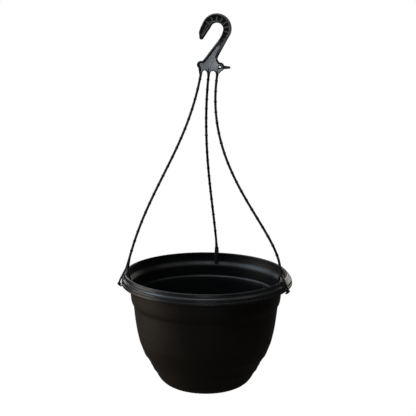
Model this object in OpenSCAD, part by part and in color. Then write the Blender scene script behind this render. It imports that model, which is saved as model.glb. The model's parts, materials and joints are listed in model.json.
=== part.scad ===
// Hanging basket: a moulded flower pot that hangs from a three-strand plastic hanger.
// Millimetres, +Z up. The origin is the middle of the hook's throat, where the rail goes.
// The hook's flat side lies in the XZ plane, and a rail through the throat runs along Y.

/* [Hook] */
// Diameter of the throat that takes the rail
throat_d = 19; // [14:1:20]
// Outer diameter of the hook's curl
curl_d = 45.4; // [42:0.2:48]
// Depth of the hook's raised edges, front to back
hook_depth = 8; // [6:0.5:10]
// Thickness of the thin web between the edges
web_t = 2.4; // [1.6:0.2:3]
// Width of the raised edges
edge_w = 2; // [1.6:0.2:2.4]
// Number of cross ribs round the curl
curl_ribs = 7; // [3:1:12]

/* [Plate] */
// Diameter of the eyelet for a plant label
eyelet_d = 3.2; // [2:0.2:4]
// Length of the label peg
peg_len = 9.2; // [6:0.2:14]

/* [Strands] */
// Diameter of a strand
strand_d = 3.6; // [3:0.2:4]
// Diameter of the small collars on a strand
collar_d = 4.8; // [4.2:0.2:5.6]
// Distance from one collar to the next
collar_pitch = 16; // [12:1:24]

/* [Rim clips] */
// Angle round the pot of the left, rear and right clips, from +X
clip_angles = [184.4, 82, -21.2];
// Width of a clip's legs, along the rim
clip_w = 6; // [5:0.5:8]
// Thickness of a clip's legs
clip_t = 2.8; // [2.2:0.2:3]
// Gap in the hinges between moving plastic parts
hinge_gap = 0.3; // [0.25:0.05:0.4]

/* [Pot] */
// Radius of the rim's top crest
crest_r = 125; // [124.5:0.1:125.5]
// Thickness of the pot's wall
wall = 1.8; // [1.4:0.1:2.2]
// Height of the pot, crest to base
pot_h = 181; // [180.5:0.1:181.5]
// Number of drain holes near the edge of the base
drain_holes = 6; // [3:1:8]
// Diameter of a drain hole
drain_d = 8; // [5:1:10]
// Distance from the pot's axis to the drain holes
drain_r = 44; // [36:1:46]

/* [Hidden] */
$fn = 96;

black = [0.09, 0.09, 0.09];
grey_black = [0.16, 0.17, 0.18];

throat_r = throat_d / 2;
curl_r = curl_d / 2;

// Where the pot hangs: its axis, and the height of its crest
pot_x = -14;
rim_z = -380;

// Height at which the stem runs into the plate, and of the strands' bending axis
split_z = -41;
swing_z = -70;
strand_r = strand_d / 2;
collar_r = collar_d / 2;
// The legs stop a running gap above the strands' round ends
leg_end_z = swing_z + strand_r + hinge_gap;

// Points of a circular arc, from angle a to angle b
function arc(x, z, r, a, b, n = 12) = [
    for (i = [0:n]) let (t = a + (b - a) * i / n) [x + r * cos(t), z + r * sin(t)]
];

// ---------------------------------------------------------------- hook

// The tip's round end, and the two straight sides of the stem
tip = [-23.2, -12.9];
tip_r = 3.3;
stem_left = [-15.6, split_z];
stem_right = [2.6, split_z];
// Middle of the curl's outer edge, a little off the throat's
curl_mid = [-0.4, 0.8];

// Outline of the hook in XZ: the tip, over the curl, down the stem to the plate
hook_outline = concat(
    arc(tip[0], tip[1], tip_r, -30, -190),
    [[-27.3, -5], [-25, 2]],
    arc(curl_mid[0], curl_mid[1], curl_r, 152, -20, 40),
    [stem_right, stem_left, [4.7, -13.6], [7.7, -7.6]],
    arc(0, 0, throat_r - 0.4, -8, 145, 24)
);

// Ribs across the curl, between two angles
rib_t = 1.3;
rib_from = -17;
rib_to = 145;

module hook_web() polygon(hook_outline);

// Lies a flat outline in the XZ plane, centred on Y, with depth d
module stand(d) rotate([90, 0, 0]) linear_extrude(d, center = true) children();

module hook() {
    rib_h = hook_depth - 2.4;
    rib_step = (rib_to - rib_from) / (curl_ribs - 1);
    color(grey_black) difference() {
        union() {
            stand(web_t) hook_web();
            // Raised edge, open at the foot where it carries on down the plate
            stand(hook_depth) difference() {
                hook_web();
                offset(delta = -edge_w) union() {
                    hook_web();
                    translate([stem_left[0], split_z - 10]) square([stem_right[0] - stem_left[0], 10]);
                }
            }
            for (i = [0:curl_ribs - 1]) rotate([0, -rib_from - i * rib_step, 0])
                translate([throat_r + 1, -rib_h / 2, -rib_t / 2]) cube([curl_r - throat_r - 2, rib_h, rib_t]);
        }
        rotate([90, 0, 0]) cylinder(r = throat_r, h = hook_depth + 2, center = true);
    }
}

// ---------------------------------------------------------------- plate

eyelet = [5.1, -57.6];
eyelet_wall = 1.8;
boss_r = 6.8;
lobe = [-24.4, -54.2];
lobe_r = 5.6;
// X of the three legs: left, rear and right strand
leg_x = [-24, -12, 1];
leg_w = 4.6;
leg_d = 4;
leg_h = 5;
leg_rib_t = 1.2;
leg_rib_h = 7;
// Below this height the raised edge gives way to the solid legs
edge_end_z = -65;

// Underside of the plate between two legs, from xa to xb: a round arch above the legs' feet
foot_h = 1;
function arch(xa, xb, top, n = 12) = let (c = (xa + xb) / 2, a = (xb - xa) / 2, spring_z = leg_end_z + foot_h) [
    for (i = [0:n]) let (t = 180 - 180 * i / n) [c + a * cos(t), spring_z + (top - spring_z) * sin(t)]
];

arch_top = [-62.9, -63.8];

plate_outline = concat(
    [stem_left, [-17.7, -43.8], [-20.2, -46.8]],
    arc(lobe[0], lobe[1], lobe_r, 70, 235),
    [[leg_x[0] - leg_w / 2, leg_end_z], [leg_x[0] + leg_w / 2, leg_end_z]],
    arch(leg_x[0] + leg_w / 2, leg_x[1] - leg_w / 2, arch_top[0]),
    [[leg_x[1] - leg_w / 2, leg_end_z], [leg_x[1] + leg_w / 2, leg_end_z]],
    arch(leg_x[1] + leg_w / 2, leg_x[2] - leg_w / 2, arch_top[1]),
    [[leg_x[2] - leg_w / 2, leg_end_z], [leg_x[2] + leg_w / 2, leg_end_z]],
    arc(eyelet[0], eyelet[1], boss_r, -75, 95),
    [[2, -47.6], [1.4, -44.6], stem_right]
);

module plate_web() polygon(plate_outline);

module plate() {
    color(grey_black) difference() {
        union() {
            stand(web_t) plate_web();
            // Raised edge, open at the top where it carries on up the stem
            stand(hook_depth) intersection() {
                difference() {
                    plate_web();
                    offset(delta = -edge_w) union() {
                        plate_web();
                        translate([stem_left[0], split_z]) square([stem_right[0] - stem_left[0], 10]);
                    }
                }
                translate([-40, edge_end_z]) square([60, split_z - edge_end_z]);
            }
            // Boss round the eyelet
            translate([eyelet[0], 0, eyelet[1]]) rotate([90, 0, 0])
                cylinder(r = eyelet_d / 2 + eyelet_wall, h = hook_depth, center = true);
            // Legs, deeper than the web, each with its rib running up the plate
            for (x = leg_x) {
                translate([x - leg_w / 2, -leg_d / 2, leg_end_z]) cube([leg_w, leg_d, leg_h]);
                translate([x - leg_rib_t / 2, 1 - hook_depth / 2, leg_end_z + leg_h - 2])
                    cube([leg_rib_t, hook_depth - 2, leg_rib_h]);
            }
        }
        translate([eyelet[0], 0, eyelet[1]]) rotate([90, 0, 0])
            cylinder(r = eyelet_d / 2, h = hook_depth + 2, center = true);
    }
}

// ---------------------------------------------------------------- label peg

// A tapering peg of two crossed fins, pointing along +X from the eyelet's boss
module label_peg() {
    root_h = 6;
    root_w = 5.6;
    tip_h = 2.8;
    drop = 0.6;
    inset = 1.8;
    color(black) difference() {
        translate([eyelet[0] + boss_r - inset, 0, eyelet[1] - drop]) {
            stand(web_t) polygon([
                [0, -root_h / 2], [inset, -root_h / 2], [inset + peg_len - 1.2, -tip_h / 2],
                [inset + peg_len, 0], [inset + peg_len - 1.2, tip_h / 2], [inset, root_h / 2], [0, root_h / 2]
            ]);
            linear_extrude(1.6, center = true) polygon([
                [0, -root_w / 2], [inset, -root_w / 2], [inset + peg_len - 1, -tip_h / 2],
                [inset + peg_len - 1, tip_h / 2], [inset, root_w / 2], [0, root_w / 2]
            ]);
        }
        translate([eyelet[0], 0, eyelet[1]]) rotate([90, 0, 0])
            cylinder(r = boss_r, h = hook_depth + 2, center = true);
    }
}

// ---------------------------------------------------------------- strands

// Each strand's route is one cubic curve: its root under the plate, two guide
// points that it bends towards, and its end in the clip on the rim
route_left = [[-24, 0, -70], [-46, -2, -191], [-106, -7, -243], [-136, -10, -368]];
route_rear = [[-12, 0, -70], [-23, 18, -185], [-3, 108, -291], [3, 121, -368]];
route_right = [[1, 0, -70], [-20, -4, -224], [101, -40, -302], [100, -44, -368]];

function along(p, t) = pow(1 - t, 3) * p[0] + 3 * pow(1 - t, 2) * t * p[1]
    + 3 * (1 - t) * t * t * p[2] + pow(t, 3) * p[3];
function heading(p, t) = let (
    d = pow(1 - t, 2) * (p[1] - p[0]) + 2 * (1 - t) * t * (p[2] - p[1]) + t * t * (p[3] - p[2])
) d / norm(d);

// Length of a route, added up over short chords
function route_len(p, n = 60) = len_sum([for (i = [1:n]) norm(along(p, i / n) - along(p, (i - 1) / n))]);
function len_sum(v, i = 0) = i == len(v) ? 0 : v[i] + len_sum(v, i + 1);

// Places of the rings along a strand, as [distance, radius]: a round start,
// then four rings to each collar, and a plain end
collar_half = 0.7;
collar_slope = 0.9;
dome = [for (a = [80, 60, 40, 20]) [-strand_r * sin(a), strand_r * cos(a)]];
function collar_rings(s) = [
    [s - collar_half - collar_slope, strand_r], [s - collar_half, collar_r],
    [s + collar_half, collar_r], [s + collar_half + collar_slope, strand_r]
];
plain_end = 14;
function strand_rings(length, first) = let (last = floor((length - plain_end - first) / collar_pitch)) concat(
    dome, [[0, strand_r]],
    [for (i = [0:last]) for (r = collar_rings(first + i * collar_pitch)) r],
    [[length, strand_r]]
);

// A tube swept along a route, with an eight-sided ring at each listed place and
// its first collar at distance first
strand_sides = 8;
module sweep_strand(p, first) {
    length = route_len(p);
    rings = strand_rings(length, first);
    points = [
        for (r = rings) let (
            t = max(0, r[0]) / length,
            h = heading(p, t),
            side = cross(h, [0, 1, 0]) / norm(cross(h, [0, 1, 0])),
            out = cross(side, h),
            at = along(p, t) + min(0, r[0]) * h
        )
        for (k = [0:strand_sides - 1]) let (a = 360 * k / strand_sides)
            at + r[1] * (cos(a) * side + sin(a) * out)
    ];
    n = len(rings);
    sides = [
        for (i = [0:n - 2]) for (k = [0:strand_sides - 1]) let (
            a = i * strand_sides + k,
            b = i * strand_sides + (k + 1) % strand_sides
        )
        for (f = [[a, a + strand_sides, b], [b, a + strand_sides, b + strand_sides]]) f
    ];
    start = [for (k = [0:strand_sides - 1]) k];
    finish = [for (k = [strand_sides - 1:-1:0]) (n - 1) * strand_sides + k];
    polyhedron(points, concat([start, finish], sides), convexity = 10);
}

module strand_left() color(black) sweep_strand(route_left, 6);
module strand_rear() color(black) sweep_strand(route_rear, 7.5);
module strand_right() color(black) sweep_strand(route_right, 8.7);

// ---------------------------------------------------------------- rim clips

// In a clip's own frame X is the distance from the pot's axis, Y runs along the
// rim and Z is the height above the crest.
knuckle = [123.2, 8];
socket_r = 3.9;
pin_r = 1.9;
inner_top = [120.6, 5.6];
inner_foot = [117.4, -13.4];
outer_foot = [137, -14.6];
bulb = [136.6, -18.8];
bulb_r = 2.9;
nib = [133.4, -20.8];
nib_r = 2.2;
// Inner corner between the outer leg and its nib
crook = [135.3, -17.2];
// The cone that the strand runs into: its lower and upper radius, and its height
cone_r = [3.2, 2.7];
cone_h = 4.5;

module at_rim(angle) translate([pot_x, 0, rim_z]) rotate([0, 0, angle]) children();

// A round bar along the rim, centred on p
module across(p, r, w) translate([p[0], 0, p[1]]) rotate([90, 0, 0]) cylinder(r = r, h = w, center = true);

// A flat bar of width w from p to q
module bar(p, q, w, t) {
    length = norm(q - p);
    tilt = atan2(q[0] - p[0], p[1] - q[1]);
    translate([p[0], 0, p[1]]) rotate([0, -tilt, 0]) translate([-t / 2, -w / 2, -length]) cube([t, w, length]);
}

// The part that stays with the strand: its socket, the collar and the inner leg
module rim_clip(angle) {
    color(black) at_rim(angle) {
        difference() {
            across(knuckle, socket_r, clip_w + 1);
            across(knuckle, pin_r + hinge_gap, clip_w + 2);
            // Mouth that the snap leg sweeps through
            translate([knuckle[0], 0, knuckle[1]]) rotate([90, 0, 0]) linear_extrude(clip_w + 2, center = true)
                polygon([[0, 0], 9 * [cos(-108), sin(-108)], [12, -12], [12, 3]]);
        }
        translate([knuckle[0] - 0.7, 0, knuckle[1] + pin_r + 0.6])
            cylinder(r1 = cone_r[0], r2 = cone_r[1], h = cone_h);
        bar(inner_top, inner_foot, clip_w, 2.6);
        across(inner_foot, 1.9, clip_w);
    }
}

// Side view of the springy outer leg: down its outer face, round the bulb and the
// nib that catches under the rim, and back up its inner face
leg_line = (outer_foot - knuckle) / norm(outer_foot - knuckle);
leg_out = [-leg_line[1], leg_line[0]] * clip_t / 2;
leg_outline = concat(
    [knuckle + leg_out, outer_foot + leg_out],
    arc(bulb[0], bulb[1], bulb_r, 20, -100),
    arc(nib[0], nib[1], nib_r, -100, -300),
    [crook, outer_foot - leg_out, knuckle - leg_out]
);

module snap_leg(angle) {
    color(black) at_rim(angle) {
        across(knuckle, pin_r, clip_w);
        stand(clip_w - 0.4) polygon(leg_outline);
    }
}

module rim_clip_left() rim_clip(clip_angles[0]);
module rim_clip_rear() rim_clip(clip_angles[1]);
module rim_clip_right() rim_clip(clip_angles[2]);
module snap_leg_left() snap_leg(clip_angles[0]);
module snap_leg_rear() snap_leg(clip_angles[1]);
module snap_leg_right() snap_leg(clip_angles[2]);

// ---------------------------------------------------------------- pot

// Section of the rim, as [distance outside the crest, height]: over the crest,
// down the flared skirt with its ridges, and back up inside the skirt
rim_section = [
    [-1.5, -1.6], [-1.1, -0.5], [0, 0], [1.4, -0.4], [2.2, -1.8], [2.4, -4.6],
    [3.4, -6.4], [6, -8.6], [7, -11], [7, -12.6], [6.7, -13.2], [7.6, -14],
    [8.2, -15.6], [8, -17.4], [7.4, -17.8], [6.4, -17.4], [6, -15.2],
    [5.2, -11.4], [2, -8], [0.6, -6.4]
];

// Outer side of the wall under the skirt, as [radius, height]: the band of the
// rim, the ledge, the wall with its step, the bowl, four rings and the foot
wall_section = [
    [124, -13.8], [118.6, -20.4], [117.4, -37], [116.2, -45], [113, -51.5],
    [112, -60], [110, -77], [107.6, -92], [104, -108], [99.6, -120], [95.6, -130],
    [92.6, -132.2], [90, -138], [88.4, -139.4], [86.2, -145.4], [84.6, -146.8],
    [82.6, -152.8], [80, -154.8], [76, -162.5], [72.6, -168.2], [69.2, -172.2],
    [64.6, -176], [59, -179.2], [54, -pot_h]
];

// Inner side, from the floor up to the crest
inner_section = [
    [0, wall - pot_h], [54, wall - pot_h], [58.2, -177.4], [63.5, -174.4],
    [67.8, -170.9], [71, -167.2], [74.4, -161.6], [78.8, -153], [85, -139],
    [91.4, -130.4], [94, -129], [97.9, -119.2], [102.2, -107.4], [105.8, -91.5],
    [108.2, -76.8], [110.2, -59.8], [112, -43], [113.4, -37.2], [115.4, -36],
    [116.8, -19.8], [122, -13.3], [123.2, -6]
];

module pot() {
    color(black) translate([pot_x, 0, rim_z]) difference() {
        rotate_extrude($fn = 180) polygon(concat(
            [for (p = rim_section) [crest_r + p[0], p[1]]],
            wall_section, [[0, -pot_h]], inner_section
        ));
        for (i = [0:drain_holes - 1]) rotate([0, 0, 360 * (i + 0.5) / drain_holes])
            translate([drain_r, 0, -pot_h - 1]) cylinder(d = drain_d, h = wall + 2);
    }
}

hook();
plate();
label_peg();
strand_left();
strand_rear();
strand_right();
rim_clip_left();
rim_clip_rear();
rim_clip_right();
snap_leg_left();
snap_leg_rear();
snap_leg_right();
pot();
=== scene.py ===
# %% [markdown]
# # A hanging basket in moulded plastic
#
# The basket is two mouldings: a thin black pot, and a flexible hanger whose hook,
# three beaded strands and three rim clips come out of one mould. The engineering
# model already holds every size and every joint. This notebook builds the finished
# surfaces round it, piece by piece, and gives each one its own plastic.

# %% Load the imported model
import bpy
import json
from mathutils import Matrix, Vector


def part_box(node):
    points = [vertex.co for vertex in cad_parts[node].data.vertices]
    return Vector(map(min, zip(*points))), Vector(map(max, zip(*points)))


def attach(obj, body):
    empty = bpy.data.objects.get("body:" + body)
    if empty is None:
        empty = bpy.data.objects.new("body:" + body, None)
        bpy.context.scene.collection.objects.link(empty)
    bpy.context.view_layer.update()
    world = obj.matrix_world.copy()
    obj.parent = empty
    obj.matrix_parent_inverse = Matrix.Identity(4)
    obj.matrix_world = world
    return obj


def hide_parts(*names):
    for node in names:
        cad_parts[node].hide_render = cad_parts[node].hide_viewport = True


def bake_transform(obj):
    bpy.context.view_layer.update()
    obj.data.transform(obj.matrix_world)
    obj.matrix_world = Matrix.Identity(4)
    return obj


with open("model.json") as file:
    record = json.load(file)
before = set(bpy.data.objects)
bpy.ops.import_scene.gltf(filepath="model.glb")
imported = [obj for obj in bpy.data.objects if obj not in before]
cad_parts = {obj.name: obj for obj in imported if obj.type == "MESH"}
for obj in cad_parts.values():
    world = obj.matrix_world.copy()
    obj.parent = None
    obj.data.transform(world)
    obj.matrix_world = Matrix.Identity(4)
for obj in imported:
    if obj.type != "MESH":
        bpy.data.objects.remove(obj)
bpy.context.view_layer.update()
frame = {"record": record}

import json
import math
import bpy
import numpy as np
from mathutils import Matrix, Vector

# %% [markdown]
# ## Where things are
#
# Everything is measured from the frame: the pot's axis and crest come from the pot
# node's own box, the clips' places from their nodes. Shapes are drawn in millimetres,
# because a moulding drawing is, and are turned into metres when a mesh is made.

# %% Driving places and sizes
MM = 0.001
pot_low, pot_high = (np.array(c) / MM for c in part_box("pot"))
POT_AXIS = (pot_low[:2] + pot_high[:2]) / 2
CREST_Z = pot_high[2]
POT_HEIGHT = pot_high[2] - pot_low[2]
CREST_R = 125.0
joints = {j["name"]: j for j in frame["record"]["behaviour"]["joints"]}
SWING_Z = joints["basket_swing"]["pos_m"][2] / MM
SIDES = ("left", "rear", "right")


def clip_angle(side):
    """Angle of a clip round the pot, in radians: the direction of its hinge from the pot's axis."""
    hinge = np.array(joints["snap_" + side]["pos_m"][:2]) / MM - POT_AXIS
    return math.atan2(hinge[1], hinge[0])


print("pot axis", POT_AXIS.round(2), "crest", round(CREST_Z, 2), "height", round(POT_HEIGHT, 2))
print("clips at", {s: round(math.degrees(clip_angle(s)), 1) for s in SIDES}, "degrees")

# %% [markdown]
# ## The two mesh makers
#
# Nearly every piece is a stack of closed rings: the pot is rings round its axis, a
# strand is rings along its curve, a clip's leg is rings along its bend. One function
# turns such a stack into a closed skin. The hook is different: it is a flat outline
# whose edge stands proud of a thin web, so its rings are the outline itself, stepped
# inwards and forwards, and its two faces are flat fills.

# %% Rings to a closed skin
def finish_mesh(name, vertices, faces, smooth_angle=40):
    """Makes an object from vertices in millimetres, faces outwards, smooth up to an angle."""
    mesh = bpy.data.meshes.new(name)
    mesh.from_pydata((np.asarray(vertices) * MM).tolist(), [], faces)
    mesh.validate()
    obj = bpy.data.objects.new(name, mesh)
    bpy.context.scene.collection.objects.link(obj)
    mesh.shade_smooth()
    mesh.set_sharp_from_angle(angle=math.radians(smooth_angle))
    return obj


def ring_faces(count, sides):
    """Quads between neighbouring rings: corner (i, k) joins (i, k+1), (i+1, k+1) and (i+1, k)."""
    i, k = np.meshgrid(np.arange(count - 1), np.arange(sides), indexing="ij")
    a, b = i * sides + k, i * sides + (k + 1) % sides
    return np.stack([a, b, b + sides, a + sides], -1).reshape(-1, 4)


def signed_volume(vertices, faces):
    """Six times the enclosed volume: the sum of a . (b x c) over triangles that fan each face."""
    total = 0.0
    for size in {len(f) for f in faces}:
        corners = vertices[np.array([f for f in faces if len(f) == size])]
        for j in range(1, size - 1):
            total += np.einsum("ij,ij->", corners[:, 0], np.cross(corners[:, j], corners[:, j + 1]))
    return total


def skin(name, rings, smooth_angle=40, flat_ends=False):
    """A closed skin over a stack of rings, shape (rings, sides, 3).

    Each end is closed by a fan to a pole, or by one flat face where the end ring is flat.
    """
    rings = np.asarray(rings, float)
    count, sides = rings.shape[:2]
    last = (count - 1) * sides
    k = np.arange(sides)
    vertices = rings.reshape(-1, 3)
    if flat_ends:
        ends = [k[::-1].tolist(), (last + k).tolist()]
    else:
        vertices = np.concatenate([vertices, [rings[0].mean(0), rings[-1].mean(0)]])
        start = np.stack([(k + 1) % sides, k, np.full(sides, count * sides)], -1)
        end = np.stack([last + k, last + (k + 1) % sides, np.full(sides, count * sides + 1)], -1)
        ends = start.tolist() + end.tolist()
    faces = ring_faces(count, sides).tolist() + ends
    if signed_volume(vertices, faces) < 0:
        faces = [f[::-1] for f in faces]
    return finish_mesh(name, vertices, faces, smooth_angle)


def joined(name, parts):
    """One object from several, for small pieces that are the same thing many times over."""
    with bpy.context.temp_override(
        active_object=parts[0], selected_editable_objects=parts, object=parts[0]
    ):
        bpy.ops.object.join()
    parts[0].name = name
    parts[0].data.name = name
    return parts[0]


def rounded(points, radius, steps=5):
    """A polyline with each inner corner swapped for a short parabola that starts radius before it.

    The parabola is (1-t)^2 a + 2 (1-t) t corner + t^2 b, where a and b lie on the two
    sides, no further out than half of the shorter one.
    """
    points = np.asarray(points, float)
    before, corner, after = points[:-2], points[1:-1], points[2:]
    back, ahead = before - corner, after - corner
    reach = np.minimum(np.linalg.norm(back, axis=1), np.linalg.norm(ahead, axis=1)) * 0.48
    reach = np.minimum(reach, radius)[:, None]
    a = corner + back / np.linalg.norm(back, axis=1, keepdims=True) * reach
    b = corner + ahead / np.linalg.norm(ahead, axis=1, keepdims=True) * reach
    t = np.linspace(0, 1, steps)[None, :, None]
    curve = (1 - t) ** 2 * a[:, None] + 2 * (1 - t) * t * corner[:, None] + t**2 * b[:, None]
    return np.concatenate([points[:1], curve.reshape(-1, points.shape[1]), points[-1:]])


def evenly(points, step, closed=False):
    """The same line with points a step apart, found by linear interpolation along its length."""
    line = np.concatenate([points, points[:1]]) if closed else np.asarray(points)
    along = np.concatenate([[0], np.cumsum(np.linalg.norm(np.diff(line, axis=0), axis=1))])
    count = int(round(along[-1] / step))
    at = np.linspace(0, along[-1], count + 1)[: count if closed else count + 1]
    return np.stack([np.interp(at, along, line[:, c]) for c in range(line.shape[1])], -1)


def arc(x, z, r, start, end, count=16):
    """Points of a circle of radius r round (x, z), from one angle to another, in degrees."""
    t = np.radians(np.linspace(start, end, count))
    return np.stack([x + r * np.cos(t), z + r * np.sin(t)], -1)

# %% [markdown]
# ## The pot
#
# The pot is a turned shape, so it is one section swept round the axis. The section
# runs from the middle of the base, out round the foot, up over four ring steps and
# the bowl, behind the rim's skirt, over the rim, and down the inside. A real mould
# has no knife edges, so every corner of the section is rounded by a small radius.

# %% The pot's section
# Distance outside the crest, height: over the crest, down the flared skirt, up its inside
rim_over = [
    (-1.5, -1.6), (-1.1, -0.5), (0, 0), (1.4, -0.4), (2.2, -1.8), (2.4, -4.4),
    (3.2, -6), (5.2, -8.2), (6, -10.4), (6, -12), (5.7, -12.6), (6.4, -13.4),
    (6.9, -14.9), (6.8, -16.6), (6.2, -17), (5.2, -16.6), (4.8, -14.6),
    (4.2, -11), (1.6, -7.8), (0.6, -6.2),
]
# Radius, height: the outer wall from under the skirt down to the base
wall_out = [
    (124, -13.8), (118.6, -20.4), (117.4, -37), (116.2, -45), (113, -51.5),
    (112, -60), (110, -77), (107.6, -92), (104, -108), (99.6, -120), (95.6, -130),
    (92.6, -132.2), (90, -138), (88.4, -139.4), (86.2, -145.4), (84.6, -146.8),
    (82.6, -152.8), (80, -154.8), (76, -162.5), (72.6, -168.2), (69.2, -172.2),
    (64.6, -176), (59, -179.2), (54, -181),
]
# Radius, height: the inner wall up to the crest, above a floor this thick
FLOOR = 1.8
wall_in = [
    (54, -179.2), (58.2, -177.4), (63.5, -174.4), (67.8, -170.9), (71, -167.2),
    (74.4, -161.6), (78.8, -153), (85, -139), (91.4, -130.4), (94, -129),
    (97.9, -119.2), (102.2, -107.4), (105.8, -91.5), (108.2, -76.8), (110.2, -59.8),
    (112, -43), (113.4, -37.2), (115.4, -36), (116.8, -19.8), (122, -13.3), (123.2, -6),
]
rim_abs = [(CREST_R + d, z) for d, z in rim_over]
outside = [(3, -POT_HEIGHT)] + wall_out[::-1]
inside = wall_in[::-1] + [(3, FLOOR - POT_HEIGHT)]
section = np.array(outside + rim_abs[::-1] + inside)
section = rounded(section, 2.5, 6)
section = section[np.concatenate([[True], np.linalg.norm(np.diff(section, axis=0), axis=1) > 0.02])]
print("the pot's section has", len(section), "points")


def turned(name, line, centre, sides, smooth_angle=40, swell=None):
    """Sweeps (radius, height) points round an upright axis: x = cx + r cos a, y = cy + r sin a.

    A swell is a function of radius, height and angle that is added to the radius.
    """
    a = np.arange(sides) * 2 * math.pi / sides
    r, h = line[:, :1], line[:, 1:2]
    if swell:
        r = r + swell(r, h, a)
    rings = np.stack([centre[0] + r * np.cos(a), centre[1] + r * np.sin(a), h + centre[2] + 0 * a], -1)
    return skin(name, rings, smooth_angle)


# How far the skirt swells, and the middle and half-width of the stretch where it does
SWELL, SWELL_AT, SWELL_WIDTH = 3.2, math.radians(4), math.radians(24)


def pulled_skirt(r, h, a):
    """A thin skirt doesn't stay round: it swells by SWELL exp(-(turn / width)^2) beside one clip."""
    turn = (a - SWELL_AT + math.pi) % (2 * math.pi) - math.pi
    on_skirt = np.clip((r - CREST_R - 0.5) / 2, 0, 1) * np.clip(-h / 5, 0, 1)
    return SWELL * np.exp(-((turn / SWELL_WIDTH) ** 2)) * on_skirt


pot = turned("pot_moulding", section, (*POT_AXIS, CREST_Z), 240, 50, pulled_skirt)

# %% [markdown]
# The drain holes are cut with a boolean, which keeps the skin closed. The cutters
# are plain bars and are thrown away afterwards.

# %% Drain holes
# How many, their distance from the axis, and their diameter
DRAIN_HOLES, DRAIN_R, DRAIN_D = 6, 44, 8


def cut(obj, cutters):
    """Subtracts each cutter from obj with an exact boolean, applies it and deletes the cutter."""
    for tool in cutters:
        boolean = obj.modifiers.new("cut", "BOOLEAN")
        boolean.operation, boolean.solver, boolean.object = "DIFFERENCE", "EXACT", tool
        evaluated = obj.evaluated_get(bpy.context.evaluated_depsgraph_get())
        mesh = bpy.data.meshes.new_from_object(evaluated)
        obj.modifiers.clear()
        obj.data = mesh
        bpy.data.objects.remove(tool)


BASE_Z = CREST_Z - POT_HEIGHT
drill_bar = np.array([(DRAIN_D / 2, -3), (DRAIN_D / 2, 5)], float)
drills = []
for i in range(DRAIN_HOLES):
    a = 2 * math.pi * (i + 0.5) / DRAIN_HOLES
    x, y = POT_AXIS[0] + DRAIN_R * math.cos(a), POT_AXIS[1] + DRAIN_R * math.sin(a)
    drills.append(turned("drill", drill_bar, (x, y, BASE_Z), 32))
cut(pot, drills)
pot.name = pot.data.name = "pot_moulding"
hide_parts("pot")
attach(pot, "basket")
print("pot:", len(pot.data.polygons), "faces")

# %% [markdown]
# ## The hook and its plate
#
# On the real hanger the hook and the plate are one flat moulding: an outline with a
# raised, rounded edge all round and a thin web between. The flat outline is stepped
# inwards, ring by ring, while the height rises over the edge and falls to the web.
# Stepping straight inwards would make the rings cross in the narrow legs, so each
# point stops just short of the outline's middle line.

# %% Outline of the hook and the plate
THROAT_R = 9.5
EYELET, EYELET_R, BOSS_R = np.array([5.1, -57.6]), 1.6, 6.8
CURL_MID, CURL_R = (-0.4, 0.8), 22.7
# The legs that the strands grow from: their places, half-width and lower end
LEG_X = {"left": -24.0, "rear": -12.0, "right": 1.0}
LEG_HALF, LEG_END = 2.5, -68.6


def arch(right_x, left_x, top):
    """Underside of the plate between two legs, right to left: half an ellipse, up to a height."""
    t = np.radians(np.linspace(8, 172, 22))
    middle, half = (right_x + left_x) / 2, (right_x - left_x) / 2
    return np.stack([middle + half * np.cos(t), LEG_END + 1 + (top - LEG_END - 1) * np.sin(t)], -1)


def leg_foot(x):
    """The two corners of a leg's lower end, right to left."""
    return np.array([(x + LEG_HALF, LEG_END), (x - LEG_HALF, LEG_END)])


outline = np.concatenate([
    arc(-23.2, -12.9, 3.3, -30, -190),
    [(-27.3, -5), (-25, 2)],
    arc(*CURL_MID, CURL_R, 152, -20, 60),
    [(2.6, -41), (1.4, -44.6), (2, -47.6)],
    arc(*EYELET, BOSS_R, 95, -75),
    leg_foot(LEG_X["right"]),
    arch(LEG_X["right"] - LEG_HALF, LEG_X["rear"] + LEG_HALF, -63.8),
    leg_foot(LEG_X["rear"]),
    arch(LEG_X["rear"] - LEG_HALF, LEG_X["left"] + LEG_HALF, -62.9),
    leg_foot(LEG_X["left"]),
    arc(-24.4, -54.2, 5.6, 235, 70),
    [(-20.2, -46.8), (-17.7, -43.8), (-15.6, -41), (4.7, -13.6), (7.7, -7.6)],
    arc(0, 0, THROAT_R, -23, 163, 40),
])
outline = rounded(np.concatenate([outline[-1:], outline, outline[:1]]), 1.5, 4)[1:-1]
outline = evenly(outline, 0.5, closed=True)
print("outline:", len(outline), "points")

# %% Steps inwards across the raised edge
EDGE_HALF, WEB_HALF = 4.0, 1.2
# Distance in from the outline, share of the edge's height, share of the web's height
edge_steps = [
    (0, 0, 0), (0, 0.45, 0), (0.08, 0.66, 0), (0.28, 0.83, 0), (0.6, 0.95, 0), (1, 1, 0),
    (1.4, 0.95, 0.05), (1.75, 0.82, 0.18), (2, 0.62, 0.38), (2.2, 0.36, 0.64),
    (2.35, 0.12, 0.88), (2.55, 0, 1), (2.7, 0, 1),
]


def inward(line):
    """Unit normals into a closed flat outline, square to the chord through both neighbours."""
    ahead = np.roll(line, -1, 0)
    chord = ahead - np.roll(line, 1, 0)
    normal = np.stack([-chord[:, 1], chord[:, 0]], -1) / np.linalg.norm(chord, axis=1, keepdims=True)
    area = np.sum(line[:, 0] * ahead[:, 1] - ahead[:, 0] * line[:, 1])
    return normal * np.sign(area)


def room_inward(line, normal):
    """Distance from each point to the outline's middle line, along its normal.

    A circle that touches p with normal n and passes through q has the radius
    |q - p|^2 / (2 n . (q - p)), and the smallest such circle reaches the middle line.
    """
    gap = line[None] - line[:, None]
    ahead = np.einsum("ijk,ik->ij", gap, normal)
    radius = np.where(ahead > 1e-3, (gap**2).sum(-1) / np.maximum(2 * ahead, 1e-9), np.inf)
    return radius.min(1)


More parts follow.
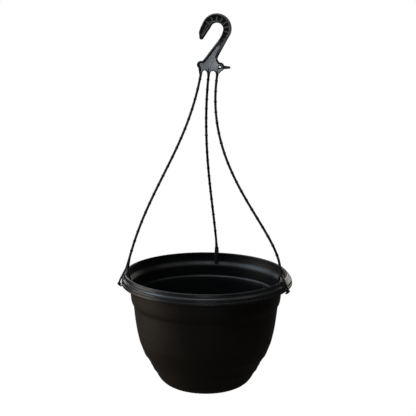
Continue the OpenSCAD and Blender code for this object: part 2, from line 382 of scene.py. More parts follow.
def smooth(value, low, high):
    """Smooth step: 0 at low, 1 at high, and 3t^2 - 2t^3 between."""
    t = np.clip((value - low) / (high - low), 0, 1)
    return t * t * (3 - 2 * t)


into = inward(outline)
height = outline[:, 1]
SHORT_OF_MIDDLE = 0.94
room = room_inward(outline, into) * SHORT_OF_MIDDLE
LEG_DEPTH = 1.4
edge_half = LEG_DEPTH + (EDGE_HALF - LEG_DEPTH) * smooth(height, -68, -60)
web_half = LEG_DEPTH + (WEB_HALF - LEG_DEPTH) * smooth(height, -68, -64)
# The edge is narrow under the plate, and broadest on the curl's outside and down the stem
on_right = smooth(into @ np.array([-1, 0.3]), -0.2, 0.9) * smooth(height, -44, -36)
on_left = smooth(into @ np.array([1, -0.3]), 0.2, 0.9) * smooth(height, -12, -20)
breadth = 0.6 + 0.55 * smooth(height, -63, -58) + 0.85 * on_right + 0.5 * on_left


def edge_ring(step, side):
    """The outline moved inwards by a step, at its depth on the front (-1) or the back (+1)."""
    inset, edge, web = step
    flat = outline + into * np.minimum(inset * breadth, room)[:, None]
    depth = side * (edge * edge_half + web * web_half)
    return np.stack([flat[:, 0], depth, flat[:, 1]], -1)


rings = [edge_ring(s, 1) for s in edge_steps[::-1]] + [edge_ring(s, -1) for s in edge_steps[1:]]
hook = skin("hook_and_plate", rings, 35, flat_ends=True)
print("hook and plate:", len(hook.data.polygons), "faces")

# %% [markdown]
# ## A bar along a path
#
# Ribs, strands, clips and the label peg are all bars that follow a path and change
# their section on the way. The section is a superellipse, which goes from a circle
# to a rounded rectangle as its power rises, so one function makes them all.

# %% Bars swept along a path
def swept(name, path, half_side, half_depth, side_hint=(0, 1, 0), power=2.0, sides=16):
    """A closed bar: at each point of the path, a superellipse across the path's direction.

    The section's points are (a |cos t|^(2/p) sgn cos t, b |sin t|^(2/p) sgn sin t), where b lies
    along the side hint, made square to the path, and a lies square to both.
    """
    path, side_hint = np.asarray(path, float), np.asarray(side_hint, float)
    heading = np.gradient(path, axis=0)
    heading /= np.linalg.norm(heading, axis=1, keepdims=True)
    deep = side_hint - heading * (heading @ side_hint)[:, None]
    deep /= np.linalg.norm(deep, axis=1, keepdims=True)
    wide = np.cross(heading, deep)
    t = (np.arange(sides) + 0.5) * 2 * math.pi / sides
    across = np.sign(np.cos(t)) * np.abs(np.cos(t)) ** (2 / power)
    along = np.sign(np.sin(t)) * np.abs(np.sin(t)) ** (2 / power)
    a = np.broadcast_to(half_side, len(path))[:, None, None]
    b = np.broadcast_to(half_depth, len(path))[:, None, None]
    out_wide = a * across[None, :, None] * wide[:, None]
    out_deep = b * along[None, :, None] * deep[:, None]
    return skin(name, path[:, None] + out_wide + out_deep)


def round_ends(distance, length, radius):
    """Factor that rounds off a bar's two ends: a quarter circle's height over the last radius."""
    to_end = np.clip(np.minimum(distance, length - distance) / radius, 0, 1)
    return np.sqrt(np.clip(1 - (1 - to_end) ** 2, 0.02, 1))


def straight(start, end, count=14):
    """Points from start to end, closer together near both ends, at (1 - cos) spacing."""
    t = (1 - np.cos(np.linspace(0, math.pi, count))) / 2
    return np.asarray(start) + (np.asarray(end) - np.asarray(start)) * t[:, None]

# %% [markdown]
# ## Ribs, rings and the eyelet
#
# The curl is stiffened by cross ribs between its two edges, the tip by one long rib,
# and the stem by two short ribs and fine ridges down its right side. The eyelet has a
# ring of its own, and an ejector pin has left its round mark beside it. All are
# separate closed bars that reach into the edges or the web, so no gap can show.

# %% Ribs on the hook
def flat_bar(name, line, half_width, half_depth, power=5.0):
    """A rib in the hook's plane along a line of (x, z) points, the same on the front and the back."""
    flat = evenly(rounded(np.array(line, float), 4, 6), half_width / 3)
    path = np.stack([flat[:, 0], 0 * flat[:, 0], flat[:, 1]], -1)
    along = np.linspace(0, half_width / 3 * (len(path) - 1), len(path))
    ends = round_ends(along, along[-1], half_width)
    return swept(name, path, half_width * ends, half_depth, power=power, sides=20)


def polar(radius, degrees):
    """A point of the hook's plane at a distance and an angle from the throat's centre."""
    return radius * math.cos(math.radians(degrees)), radius * math.sin(math.radians(degrees))


extras = []
# How many ribs, the first one's angle and the angle between two, in degrees
CURL_RIBS, FIRST_RIB, RIB_STEP = 7, -17, 27
RIB_INNER, RIB_OUTER = 10.6, 20.6
for i in range(CURL_RIBS):
    angle = FIRST_RIB + i * RIB_STEP
    rib_line = [polar(RIB_INNER, angle), polar(RIB_OUTER, angle)]
    extras.append(flat_bar("rib", rib_line, 1.1, 3.1))
tip_line = [(-22.9, -11), (-19.6, -2.5), (-17.2, 2.3), (-14, 7.6), (-10.6, 11.4)]
extras.append(flat_bar("tip_rib", tip_line, 0.9, 3.2))
for start, end in [((6.2, -13.2), (13, -16)), ((2.2, -19.5), (9.5, -22.5))]:
    extras.append(flat_bar("stem_rib", [start, end], 0.7, 2.6))
# Each ridge lies further left than the last by its offset, and stands lower
for offset, half_depth in ((0, 3.0), (1.6, 2.2)):
    ridge_line = [(-0.8 - offset, -44), (0.6 - offset, -40), (17.2 - offset, -10)]
    extras.append(flat_bar("ridge", ridge_line, 0.45, half_depth))
print(len(extras), "ribs and ridges")

# %% The eyelet's hole and ring, and the pin mark
def ring_on_web(name, centre, inner, outer, half_depth, sides=48, corners=20):
    """A closed ring round an axis along Y: a superellipse of power 5 turned round the centre."""
    middle, half = (inner + outer) / 2, (outer - inner) / 2
    t = np.arange(corners) * 2 * math.pi / corners
    section_r = middle + half * np.sign(np.cos(t)) * np.abs(np.cos(t)) ** 0.4
    section_y = half_depth * np.sign(np.sin(t)) * np.abs(np.sin(t)) ** 0.4
    a = np.arange(sides)[:, None] * 2 * math.pi / sides
    x = centre[0] + section_r * np.cos(a)
    z = centre[1] + section_r * np.sin(a)
    vertices = np.stack([x, section_y + 0 * a, z], -1).reshape(-1, 3)
    i, k = np.meshgrid(np.arange(sides), np.arange(corners), indexing="ij")
    i, j, m = i * corners, (i + 1) % sides * corners, (k + 1) % corners
    faces = np.stack([i + k, i + m, j + m, j + k], -1).reshape(-1, 4)
    if signed_volume(vertices, faces.tolist()) < 0:
        faces = faces[:, ::-1]
    return finish_mesh(name, vertices, faces.tolist())


# The hole is cut wider than the eyelet, because the ring lines it
DRILL_R = 2.4
drill_path = straight((EYELET[0], -6, EYELET[1]), (EYELET[0], 6, EYELET[1]), 4)
cut(hook, [swept("drill", drill_path, DRILL_R, DRILL_R, side_hint=(0, 0, 1), sides=32)])
hook.name = hook.data.name = "hook_and_plate"
hook.data.set_sharp_from_angle(angle=math.radians(35))
extras.append(ring_on_web("eyelet_ring", EYELET, EYELET_R, 3.3, EDGE_HALF))
extras.append(ring_on_web("pin_mark", (-1.4, -57.4), 2.0, 2.6, WEB_HALF + 0.25))
hook = joined("hook_and_plate", [hook] + extras)
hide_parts("hook", "plate")
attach(hook, "hanger_head")
print("hook and plate with ribs:", len(hook.data.polygons), "faces")

# %% [markdown]
# ## The label peg
#
# A plant label clips onto a peg beside the eyelet. It is a barb of two crossed fins,
# which a mould can make without a core: an upright fin and a flat one, both tapering.

# %% Two crossed fins
PEG_TIP = np.array([21.1, 0, -58.4])
peg_root = np.array([EYELET[0] + 4.4, 0, EYELET[1] - 0.6])
peg_path = straight(peg_root, PEG_TIP, 24)
run = np.linspace(0, 1, 24)
from_root = np.linalg.norm(peg_path - peg_root, axis=1)
taper = round_ends(from_root, from_root[-1], 1.0)
fin = {"power": 4.0, "sides": 20}
upright = swept("upright_fin", peg_path, (3.1 - 1.7 * run) * taper, 1.15 * taper, **fin)
flat = swept("flat_fin", peg_path, 0.75 * taper, (2.8 - 1.7 * run) * taper, **fin)
peg = joined("label_peg_fins", [upright, flat])
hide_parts("label_peg")
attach(peg, "hanger_head")
print("label peg:", len(peg.data.polygons), "faces")

# %% [markdown]
# ## The strands
#
# Each strand is one flexible rod with a small collar every 16 mm. It leaves a leg of
# the plate as a flat, tapering root with a rib, and ends in the clip. Its route is
# one cubic curve, the same as in the engineering model. The collars are bumps in the
# rod's radius, so a rod and its collars are one closed skin. Rod and collars are drawn
# 0.15 mm larger in radius than in that model, because a line as thin as this looks
# thinner than it is from two metres away.

# %% The strands' routes
STRAND_R, COLLAR_R, COLLAR_PITCH, PLAIN_END = 1.95, 2.55, 16, 14
# Distance of the first collar below the swing axis
FIRST_COLLAR = {"left": 6, "rear": 7.5, "right": 8.7}
routes = {
    "left": [(-24, 0, -70), (-46, -2, -191), (-106, -7, -243), (-136, -10, -368)],
    "rear": [(-12, 0, -70), (-23, 18, -185), (-3, 108, -291), (3, 121, -368)],
    "right": [(1, 0, -70), (-20, -4, -224), (101, -40, -302), (100, -44, -368)],
}
ROOT_TOP = -58.5


def cubic(points, t):
    """Cubic curve: (1-t)^3 p0 + 3 (1-t)^2 t p1 + 3 (1-t) t^2 p2 + t^3 p3."""
    p = np.asarray(points, float)
    t = np.asarray(t)[:, None]
    return ((1 - t) ** 3 * p[0] + 3 * (1 - t) ** 2 * t * p[1]
            + 3 * (1 - t) * t * t * p[2] + t**3 * p[3])


def strand_path(points):
    """The root's upright stretch above the curve, then the curve itself, in steps of 0.8 mm."""
    curve = cubic(points, np.linspace(0, 1, 800))
    root = np.array([(points[0][0], 0, ROOT_TOP)])
    path = evenly(rounded(np.concatenate([root, curve]), 2, 4), 0.8)
    along = np.concatenate([[0], np.cumsum(np.linalg.norm(np.diff(path, axis=0), axis=1))])
    return path, along - (ROOT_TOP - SWING_Z)


def collars(s, first):
    """Radius along a strand: a collar adds exp(-(d/0.95)^4) of its height, d from its middle."""
    middles = np.arange(first, s[-1] - PLAIN_END, COLLAR_PITCH)
    nearest = np.abs(s[:, None] - middles[None]).min(1)
    return STRAND_R + (COLLAR_R - STRAND_R) * np.exp(-((nearest / 0.95) ** 4))


# Half-width of the rib that runs up the plate, and its half-depth at its top and its foot
RIB_HALF, RIB_TOP_DEPTH, RIB_FOOT_DEPTH = 0.75, 1.0, 2.3
strands = {}
for side in SIDES:
    path, s = strand_path(routes[side])
    body = collars(s, FIRST_COLLAR[side])
    # The rib in the plate is narrow and low, and grows into the round rod below the leg
    into_rod = smooth(s, -7, 1)
    half_side = RIB_HALF + (body - RIB_HALF) * into_rod
    rib_depth = RIB_TOP_DEPTH + (RIB_FOOT_DEPTH - RIB_TOP_DEPTH) * smooth(s, -12, -7)
    half_depth = rib_depth + (body - RIB_FOOT_DEPTH) * into_rod
    rod = swept("rod", path, half_side, half_depth, sides=16)
    # The leg's flat foot runs on down the rod as two wings, which taper away
    wing_part = (s > -3.5) & (s < 8)
    wing_half = 2.35 - 0.75 * smooth(s[wing_part], -3.5, 7)
    wings = swept("wings", path[wing_part], wing_half, 1.15, power=4.0, sides=20)
    strand = joined(f"strand_{side}_rod", [rod, wings])
    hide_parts(f"strand_{side}")
    strands[side] = strand
    print(side, "strand:", round(s[-1], 1), "mm long,", len(strand.data.polygons), "faces")

# %% [markdown]
# A strand is fixed to the plate at its top and hangs with the pot below, so the real
# one bends over its first two centimetres when the basket swings. Here each strand's
# placement is only baked into its mesh.

# %% Bake each strand's transform into its mesh
for side, strand in strands.items():
    x = LEG_X[side] * MM
    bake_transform(strand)

# %% [markdown]
# ## The rim clips
#
# A clip is a springy upside-down V that straddles the rim. Its inner leg lies inside
# the wall, and its outer leg runs down the skirt to a bulb. Both legs are one bar
# along a bent path, wide along the rim and thin across, with grip ridges on the outer
# one. A short nib is a second bar, which starts in the bulb and catches under the
# skirt's edge. A cone joins the knuckle to the strand.

# %% One clip's line, and the way into place
# Half of the legs' width and thickness, the grip ridges' pitch, and the bulb
CLIP_HALF, LEG_THIN, GRIP_PITCH = 3.0, 1.3, 3.1
BULB, BULB_R = np.array([135.4, -17.0]), 2.9
# Distance from the pot's axis, height over the crest: up the inner leg and down the outer
clip_line = [
    (117.2, -14.6), (118.2, -9.5), (120.2, 1), (121.3, 7), (123.2, 9.4), (125.2, 7.2),
    (134.9, -12.5), (135.5, -18.9),
]
nib_line = [(135.4, -18.2), (133, -19.9), (131.2, -19.2)]


def place_at_rim(side, line):
    """A clip's (distance from the axis, height over the crest) points, turned to its own angle."""
    a = clip_angle(side)
    r, h = np.array(line, float).T
    x, y = POT_AXIS[0] + r * math.cos(a), POT_AXIS[1] + r * math.sin(a)
    return np.stack([x, y, h + CREST_Z], -1)


def along_rim(side):
    """The direction along the rim at a clip."""
    a = clip_angle(side)
    return -math.sin(a), math.cos(a), 0


# %% [markdown]
# The outer leg swings on the clip's knuckle, as a living hinge does. Here both legs
# are one bar in one position.

# %% The clips
LEG_STEP, NIB_STEP = 0.35, 0.3


def clip_legs(side):
    """Both legs in one bar, with the grip ridges, half a sine each, and the bulb, exp(-(d/2.4)^4)."""
    flat = evenly(rounded(np.array(clip_line, float), 2.2, 8), LEG_STEP)
    s = np.linspace(0, 1, len(flat)) * LEG_STEP * len(flat)
    outer = smooth(flat[:, 0], 126.5, 128)
    ridged = outer * smooth(flat[:, 1], -15.5, -14)
    grip = ridged * np.clip(np.sin(s * 2 * math.pi / GRIP_PITCH), 0, 1)
    bulb = np.exp(-((np.linalg.norm(flat - BULB, axis=1) / 2.4) ** 4)) * outer
    ends = round_ends(s, s[-1], 1.2 + 1.6 * bulb)
    thick = (LEG_THIN + 0.4 * grip + (BULB_R - LEG_THIN) * bulb) * ends
    wide = (CLIP_HALF - 0.3 * outer + 0.25 * grip) * (0.35 + 0.65 * ends)
    return swept("leg", place_at_rim(side, flat), thick, wide, along_rim(side), 3.2, 24)


def clip_nib(side):
    """The nib: a short bar with rounded ends."""
    flat = evenly(rounded(np.array(nib_line, float), 1.5, 5), NIB_STEP)
    s = np.linspace(0, NIB_STEP * (len(flat) - 1), len(flat))
    thick, wide = 1.1 * round_ends(s, s[-1], 1.0), 2.5 * round_ends(s, s[-1], 0.6)
    return swept("nib", place_at_rim(side, flat), thick, wide, along_rim(side), 3.2, 20)


clips = {}
for side in SIDES:
    clip = joined("clip", [clip_legs(side), clip_nib(side)])
    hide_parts(f"rim_clip_{side}", f"snap_leg_{side}")
    clip.name = clip.data.name = f"clip_{side}_spring"
    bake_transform(clip)
    clips[side] = clip
    print(side, "clip:", len(clip.data.polygons), "faces")

# %% The cone between each clip and its strand
# Where on the clip a cone starts, and at what share of the strand's curve it ends
CONE_START, CONE_END = (122.9, 8.0), 0.965
for side in SIDES:
    knuckle = place_at_rim(side, [CONE_START])[0]
    tip = cubic(routes[side], [CONE_END])[0]
    narrowing = smooth(np.linspace(0, 1, 20), 0, 1)
    cone = swept("cone", straight(knuckle, tip, 20), 3.1 - 1.25 * narrowing,
                 2.5 - 0.65 * narrowing, along_rim(side), 2.4, 20)
    cone.name = cone.data.name = f"clip_{side}_cone"
    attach(cone, "basket")
    clips[side + "_cone"] = cone
print("clips:", sorted(clips))

# %% [markdown]
# ## Plastics
#
# Everything here is black plastic, yet no two surfaces look alike. The pot's wall is
# matt and brownish, its rim is smoother and painted a lighter grey as a highlight, its
# inside is painted darkest as shade, and the hanger's plate has a glossy web painted
# with a grey sheen as a reflection.
# Three effects are shared as node groups: the mould's fine grain, a slow drift in
# tone, and dust that settles on what faces up.

# %% Small helpers for node trees
def feed(tree, socket, value):
    """Links a value to a socket if it is another node's output, or else sets it there."""
    if hasattr(value, "is_output"):
        tree.links.new(value, socket)
    else:
        socket.default_value = value


def node(tree, kind, **settings):
    """Adds a node of a kind. A key in_Name or in_0 feeds a socket, any other sets a property."""
    made = tree.nodes.new(kind)
    for key, value in settings.items():
        if key.startswith("in_"):
            title = key[3:]
            feed(tree, made.inputs[int(title) if title.isdigit() else title.replace("_", " ")], value)
        else:
            setattr(made, key, value)
    return made


def new_group(name, inputs, outputs):
    """An empty node group: inputs are (name, kind, default), outputs are (name, kind)."""
    group = bpy.data.node_groups.new(name, "ShaderNodeTree")
    for title, kind, default in inputs:
        socket = group.interface.new_socket(title, in_out="INPUT", socket_type=kind)
        socket.default_value = default
    for title, kind in outputs:
        group.interface.new_socket(title, in_out="OUTPUT", socket_type=kind)
    return group, group.nodes.new("NodeGroupInput"), group.nodes.new("NodeGroupOutput")


def object_point(tree):
    """The Object coordinates, in which every piece here has its place in metres."""
    return node(tree, "ShaderNodeTexCoord").outputs["Object"]


def split(tree, vector):
    """The X, Y and Z of a vector."""
    return node(tree, "ShaderNodeSeparateXYZ", in_0=vector).outputs


def scalar(tree, operation, a, b=0.0, clamp=False):
    """One step of arithmetic on values."""
    made = node(tree, "ShaderNodeMath", operation=operation, use_clamp=clamp, in_0=a, in_1=b)
    return made.outputs[0]


def times(tree, a, b):
    """The product of two values."""
    return scalar(tree, "MULTIPLY", a, b)


def vector(tree, operation, a, b=(0, 0, 0), output=0):
    """One step of vector arithmetic. Its output is the vector, or by name the Value."""
    return node(tree, "ShaderNodeVectorMath", operation=operation, in_0=a, in_1=b).outputs[output]


def ramp(tree, value, low, high, to_low=0.0, to_high=1.0):
    """Smooth map of a value from one range onto another."""
    return node(tree, "ShaderNodeMapRange", interpolation_type="SMOOTHSTEP", in_0=value, in_1=low,
                in_2=high, in_3=to_low, in_4=to_high).outputs[0]


def mix_colour(tree, factor, a, b):
    """Mixes two colours by a factor."""
    return node(tree, "ShaderNodeMix", data_type="RGBA", in_0=factor, in_6=a, in_7=b).outputs[2]


def noise(tree, scale, detail=3.0, rough=0.5, stretch=None):
    """Noise on Object coordinates, in cycles per metre, stretched by a factor on each axis."""
    point = object_point(tree)
    if stretch:
        point = node(tree, "ShaderNodeMapping", in_Vector=point, in_Scale=stretch).outputs[0]
    return node(tree, "ShaderNodeTexNoise", in_Vector=point, in_Scale=scale, in_Detail=detail,
                in_Roughness=rough).outputs["Fac"]


# %% Shared effects
def grain_group():
    """Height of a moulded surface: fine grain, and long shallow waves left by polishing the mould."""
    group, given, result = new_group(
        "mould_grain",
        [("Fine", "NodeSocketFloat", 0.5), ("Waves", "NodeSocketFloat", 0.5)],
        [("Height", "NodeSocketFloat")],
    )
    fine = times(group, noise(group, 2600, 2.0), given.outputs["Fine"])
    waves = times(group, noise(group, 38, 2.0, stretch=(1, 1, 0.35)), given.outputs["Waves"])
    group.links.new(scalar(group, "ADD", fine, waves), result.inputs["Height"])
    return group


def tone_group():
    """A colour that drifts between two tones, in patches a few centimetres wide with finer flecks."""
    group, given, result = new_group(
        "tone_drift",
        [("Tone", "NodeSocketColor", (0, 0, 0, 1)), ("Other", "NodeSocketColor", (0, 0, 0, 1))],
        [("Color", "NodeSocketColor"), ("Drift", "NodeSocketFloat")],
    )
    slow = times(group, noise(group, 22, 2.0), 0.7)
    flecks = times(group, noise(group, 420, 3.0, 0.6), 0.3)
    drift = ramp(group, scalar(group, "ADD", slow, flecks), 0.35, 0.65)
    colour = mix_colour(group, drift, given.outputs["Tone"], given.outputs["Other"])
    group.links.new(colour, result.inputs["Color"])
    group.links.new(drift, result.inputs["Drift"])
    return group


def dust_group():
    """A mask of dust and handling scuffs: thin, patchy, and thickest where the surface faces up."""
    group, given, result = new_group(
        "dust_and_scuffs",
        [("Dust", "NodeSocketFloat", 0.2), ("Scuffs", "NodeSocketFloat", 0.1)],
        [("Mask", "NodeSocketFloat")],
    )
    facing = group.nodes.new("ShaderNodeNewGeometry").outputs["Normal"]
    up = ramp(group, split(group, facing)["Z"], 0.2, 0.9)
    settled = times(group, up, ramp(group, noise(group, 260, 4.0, 0.65), 0.35, 0.7))
    scuffed = ramp(group, noise(group, 150, 5.0, 0.7, stretch=(1, 1, 0.25)), 0.6, 0.75)
    dust = times(group, settled, given.outputs["Dust"])
    scuffs = times(group, scuffed, given.outputs["Scuffs"])
    both = scalar(group, "ADD", dust, scuffs, clamp=True)
    group.links.new(both, result.inputs["Mask"])
    return group


GRAIN, TONE, DUST = grain_group(), tone_group(), dust_group()
print("shared effects:", [g.name for g in (GRAIN, TONE, DUST)])

# %% [markdown]
# One recipe covers all the plastics: a drifting tone, dust mixed over it, roughness
# that follows both, and a bump from the grain. Each finish gives its own numbers.

# %% A plastic from a few numbers
DUST_COLOUR = (0.16, 0.16, 0.165, 1)


def use_group(tree, group, **values):
    """Places a node group with its values."""
    made = tree.nodes.new("ShaderNodeGroup")
    made.node_tree = group
    for key, value in values.items():
        feed(tree, made.inputs[key], value)
    return made


def plastic(name, tone, other, rough, fine, waves, dust, scuffs, bump=0.15, specular=0.5):
    """A moulded plastic: the material, its tree and shader, and the sockets a finish may refine."""
    material = bpy.data.materials.new(name)
    material.use_nodes = True
    tree = material.node_tree
    shader = tree.nodes["Principled BSDF"]
    shader.inputs["Specular IOR Level"].default_value = specular
    drift = use_group(tree, TONE, Tone=(*tone, 1), Other=(*other, 1))
    mask = use_group(tree, DUST, Dust=dust, Scuffs=scuffs).outputs["Mask"]
    colour = mix_colour(tree, mask, drift.outputs["Color"], DUST_COLOUR)
    varied = ramp(tree, drift.outputs["Drift"], 0, 1, rough - 0.04, rough + 0.05)
    roughness = scalar(tree, "ADD", varied, times(tree, mask, 0.35), clamp=True)
    height = use_group(tree, GRAIN, Fine=fine, Waves=waves).outputs["Height"]
    relief = node(tree, "ShaderNodeBump", in_Height=height, in_Strength=bump, in_Distance=0.0005)
    tree.links.new(colour, shader.inputs["Base Color"])
    tree.links.new(roughness, shader.inputs["Roughness"])
    tree.links.new(relief.outputs[0], shader.inputs["Normal"])
    return material, tree, shader, colour, roughness


def wear(obj, material):
    """Gives an object its one material."""
    obj.data.materials.clear()
    obj.data.materials.append(material)


# %% The pot: a matt wall, a smoother rim painted lighter grey as a highlight, and an inside painted dark as shade
def pot_plastic():
    """Black plastic: height tells the rim from the wall, and the normal the inside from the outside.
    The rim is painted a lighter grey as a highlight, and the inside a darker tone as shade.
    """
    material, tree, shader, colour, roughness = plastic(
        "pot_black", (0.0105, 0.0083, 0.0062), (0.0145, 0.011, 0.0078),
        rough=0.56, fine=0.55, waves=0.25, dust=0.14, scuffs=0.05, bump=0.22, specular=0.32)
    point = object_point(tree)
    height = split(tree, point)["Z"]
    on_rim = ramp(tree, height, (CREST_Z - 19.5) * MM, (CREST_Z - 17.5) * MM)
    # A face looks inwards where its normal points against the direction away from the axis
    away = vector(tree, "SUBTRACT", point, (*POT_AXIS * MM, 0))
    level = vector(tree, "NORMALIZE", vector(tree, "MULTIPLY", away, (1, 1, 0)))
    facing = tree.nodes.new("ShaderNodeNewGeometry").outputs["Normal"]
    outwards = vector(tree, "DOT_PRODUCT", facing, level, "Value")
    inside_face = ramp(tree, outwards, 0.05, -0.25)
    # Painted highlight: the rim is mixed towards a lighter grey for the light that its upper faces
    # catch. Its lower roughness is not painted.
    rim_painted_highlight = mix_colour(tree, on_rim, colour, (0.018, 0.0185, 0.019, 1))
    rim_rough = scalar(tree, "SUBTRACT", roughness, times(tree, on_rim, 0.27))
    # Painted shade: faces that look inwards are mixed towards a darker tone for the shade inside the
    # bowl, and get a roughness of 0.42.
    tone = mix_colour(tree, inside_face, rim_painted_highlight, (0.0022, 0.0028, 0.0032, 1))
    rough = node(tree, "ShaderNodeMix", in_0=inside_face, in_2=rim_rough, in_3=0.42).outputs[0]
    tree.links.new(tone, shader.inputs["Base Color"])
    tree.links.new(rough, shader.inputs["Roughness"])
    return material


# %% [markdown]
# The hanger's plate has a glossy web, painted with a bluish grey sheen that stands in for a
# reflection. The curl's ribs and its outer edge on the right are painted a lighter grey as
# highlights where light falls on them, and the pockets between the ribs keep the plain
# black. Depth, height and distance from the throat's middle are enough to tell these
# places apart.

# %% The hanger: a glossy plate with a painted sheen, and painted highlights on the curl
def hanger_plastic():
    """Black plastic with two masks: one for the web's lower part, made glossier and painted a grey
    sheen as a reflection, and one for the ribs and the right outer edge, made less rough and painted a
    lighter grey as highlights.
    """
    material, tree, shader, colour, roughness = plastic(
        "hanger_black_painted_sheen", (0.0035, 0.0035, 0.0035), (0.006, 0.006, 0.006),
        rough=0.62, fine=0.2, waves=0.6, dust=0.12, scuffs=0.1, bump=0.12)
    point = object_point(tree)
    place = split(tree, point)
    depth = scalar(tree, "ABSOLUTE", place["Y"])
    on_web = ramp(tree, depth, 2.4 * MM, 1.5 * MM)
    # Lower web: made glossier, and painted a bluish grey below as a sheen that stands in for a
    # reflection.
    polish_and_sheen = times(tree, on_web, ramp(tree, place["Z"], -14 * MM, -31 * MM))
    rib_low, rib_high = ramp(tree, depth, 2.3 * MM, 2.7 * MM), ramp(tree, depth, 3.7 * MM, 3.5 * MM)
    on_rib = times(tree, rib_low, rib_high)
    radius = vector(tree, "LENGTH", vector(tree, "MULTIPLY", point, (1, 0, 1)), output="Value")
    far_out = ramp(tree, radius, 16 * MM, 18.5 * MM)
    lit_outer_edge = times(tree, far_out, ramp(tree, place["X"], -9 * MM, 5 * MM))
    high = ramp(tree, place["Z"], -40 * MM, -24 * MM)
    # Ribs and the curl's outer edge on the right side, where light falls: painted a lighter grey below
    # as highlights, and made less rough.
    rib_and_edge_highlight = times(tree, scalar(tree, "MAXIMUM", on_rib, lit_outer_edge), high)
    rib_and_edge_highlight = times(tree, rib_and_edge_highlight, ramp(tree, depth, 1.6 * MM, 2.2 * MM))
    # Painted highlights on the ribs and the right edge, then the painted sheen on the lower web.
    tone = mix_colour(tree, rib_and_edge_highlight, colour, (0.13, 0.132, 0.126, 1))
    tone = mix_colour(tree, polish_and_sheen, tone, (0.11, 0.122, 0.145, 1))
    rough = scalar(tree, "SUBTRACT", roughness, times(tree, polish_and_sheen, 0.42))
    rough = scalar(tree, "SUBTRACT", rough, times(tree, rib_and_edge_highlight, 0.2))
    tree.links.new(tone, shader.inputs["Base Color"])
    tree.links.new(rough, shader.inputs["Roughness"])
    return material


# %% Every piece gets its finish
wear(pot, pot_plastic())
wear(hook, hanger_plastic())
peg_finish = plastic("peg_black", (0.014, 0.014, 0.014), (0.02, 0.02, 0.021),
                     rough=0.38, fine=0.2, waves=0.4, dust=0.1, scuffs=0.08)[0]
wear(peg, peg_finish)
strand_finish = plastic("strand_black", (0.007, 0.007, 0.0068), (0.011, 0.0108, 0.0105), rough=0.4,
                        fine=0.25, waves=0.3, dust=0.08, scuffs=0.06, bump=0.12, specular=0.4)[0]
for piece in list(strands.values()) + list(clips.values()):
    wear(piece, strand_finish)
print("finishes:", sorted(m.name for m in bpy.data.materials if m.users))

# %% [markdown]
# ## Floor, light and camera
#
# The basket hangs over a plain white floor that runs up into a white backdrop. Black
# plastic shows little but reflections, so each light is there for a surface that it
# shines on: a warm one low on the left for the wall, cool ones at the upper left and
# overhead for the rim, a weak one on the right, a card in front for the plate, and
# two behind that outline the edges. The floor and the world are white only where the
# camera looks straight at them, so that they don't wash the black out.

# %% Floor and backdrop
FLOOR_Z = BASE_Z - 350
BEND_R = 900


def white_stage():
    """A floor that curves up behind: a line of (y, z) points carried along X."""
    bend = arc(2000, FLOOR_Z + BEND_R, BEND_R, -90, 0, 16)
    line = np.concatenate([[(-3500, FLOOR_Z)], bend, [(2900, 3500)]])
    left, right = (np.stack([x + 0 * line[:, 0], line[:, 0], line[:, 1]], -1) for x in (-5000, 5000))
    count = len(line)
    faces = [(i, i + 1, count + i + 1, count + i) for i in range(count - 1)]
    return finish_mesh("stage_floor", np.concatenate([left, right]), faces)


def stage_white():
    """Plain pale paint: white to the camera, and dimmer as a source of bounced light."""
    material = bpy.data.materials.new("stage_white")
    material.use_nodes = True
    tree = material.node_tree
    shader = tree.nodes["Principled BSDF"]
    shader.inputs["Base Color"].default_value = (0.08, 0.07, 0.06, 1)
    shader.inputs["Roughness"].default_value = 1.0
    glow = node(tree, "ShaderNodeEmission", in_Strength=1.0)
    seen = node(tree, "ShaderNodeLightPath").outputs["Is Camera Ray"]
    mixed = node(tree, "ShaderNodeMixShader", in_0=seen, in_1=shader.outputs[0], in_2=glow.outputs[0])
    tree.links.new(mixed.outputs[0], tree.nodes["Material Output"].inputs["Surface"])
    return material


floor = white_stage()
wear(floor, stage_white())
print("floor at", round(FLOOR_Z, 1), "mm")

# %% World and lights
def soft_light(name, place, aim, size, power, colour=(1, 1, 1)):
    """An area light at a place in metres, aimed at a point."""
    data = bpy.data.lights.new(name, "AREA")
    data.shape, data.size, data.size_y = "RECTANGLE", size[0], size[1]
    data.energy, data.color = power, colour
    lamp = bpy.data.objects.new(name, data)
    bpy.context.scene.collection.objects.link(lamp)
    away = np.asarray(place, float) - np.asarray(aim, float)
    lamp.rotation_euler = Vector(away).to_track_quat("Z", "Y").to_euler()
    lamp.location = place
    return lamp


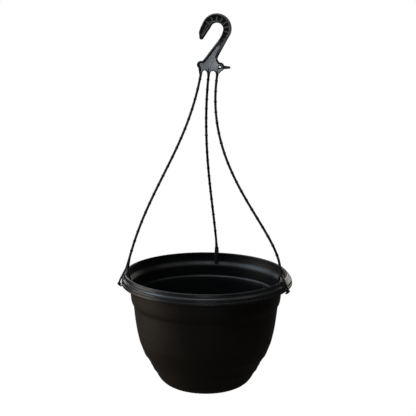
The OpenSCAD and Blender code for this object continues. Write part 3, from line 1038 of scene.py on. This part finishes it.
world = bpy.data.worlds.new("studio")
bpy.context.scene.world = world
world.use_nodes = True
sky = world.node_tree
background = sky.nodes["Background"]
seen = node(sky, "ShaderNodeLightPath").outputs["Is Camera Ray"]
sky.links.new(ramp(sky, seen, 0, 1, 0.02, 1.0), background.inputs["Strength"])
background.inputs["Color"].default_value = (1, 1, 1, 1)
bpy.context.scene.view_settings.view_transform = "Standard"

middle = (POT_AXIS[0] * MM, 0, (CREST_Z - 60) * MM)
soft_light("key_left", (-1.9, 0.0, -0.4), middle, (1.3, 1.0), 14, (1.0, 0.87, 0.74))
soft_light("sky_left", (-1.3, 0.35, 0.85), middle, (1.3, 0.7), 19, (0.74, 0.86, 1.0))
soft_light("sky_overhead", (-0.35, -0.42, 1.45), middle, (1.6, 0.6), 18, (0.92, 0.96, 1.0))
soft_light("sky_right", (0.9, -0.2, 1.0), middle, (0.8, 0.8), 2.4, (1.0, 0.98, 0.92))
soft_light("card_front", (-0.02, -3.4, -0.5), (0, 0, -0.05), (0.7, 0.36), 7, (0.88, 0.94, 1.0))
soft_light("back_right", (1.3, 2.1, 0.1), middle, (1.2, 1.2), 9, (1.0, 0.95, 0.88))
soft_light("back_left", (-1.1, 2.2, 0.3), middle, (1.2, 1.2), 12, (0.9, 0.95, 1.0))

# %% Camera
# Degrees that it looks down by, its roll in radians, and its lens and sensor in millimetres
LOOK_DOWN, ROLL, LENS, SENSOR = 12.888, 0.0070, 137.74, 36.0


def hang_camera():
    """A long lens 2.4 m in front of the pot's axis, looking down from above the rim."""
    data = bpy.data.cameras.new("camera")
    data.lens, data.sensor_width = LENS, SENSOR
    data.clip_end = 50
    camera = bpy.data.objects.new("camera", data)
    bpy.context.scene.collection.objects.link(camera)
    look_down = Matrix.Rotation(math.radians(90 - LOOK_DOWN), 4, "X")
    roll = Matrix.Rotation(ROLL, 4, "Z")
    place = Matrix.Translation(((POT_AXIS[0] + 2.5) * MM, -2.4, (CREST_Z + 652.07) * MM))
    camera.matrix_world = place @ look_down @ roll
    bpy.context.scene.camera = camera
    return camera


print("camera at", np.round(hang_camera().matrix_world.translation, 4))

# %% [markdown]
# ## Sizes, then finish
#
# The finished surfaces may leave the engineering model's box by no more than a little.
# The swollen skirt stands 1.8 mm out of the engineering model's box on +X, and the
# skirt elsewhere stays 1.3 mm inside.

# %% Finish
bpy.context.view_layer.update()
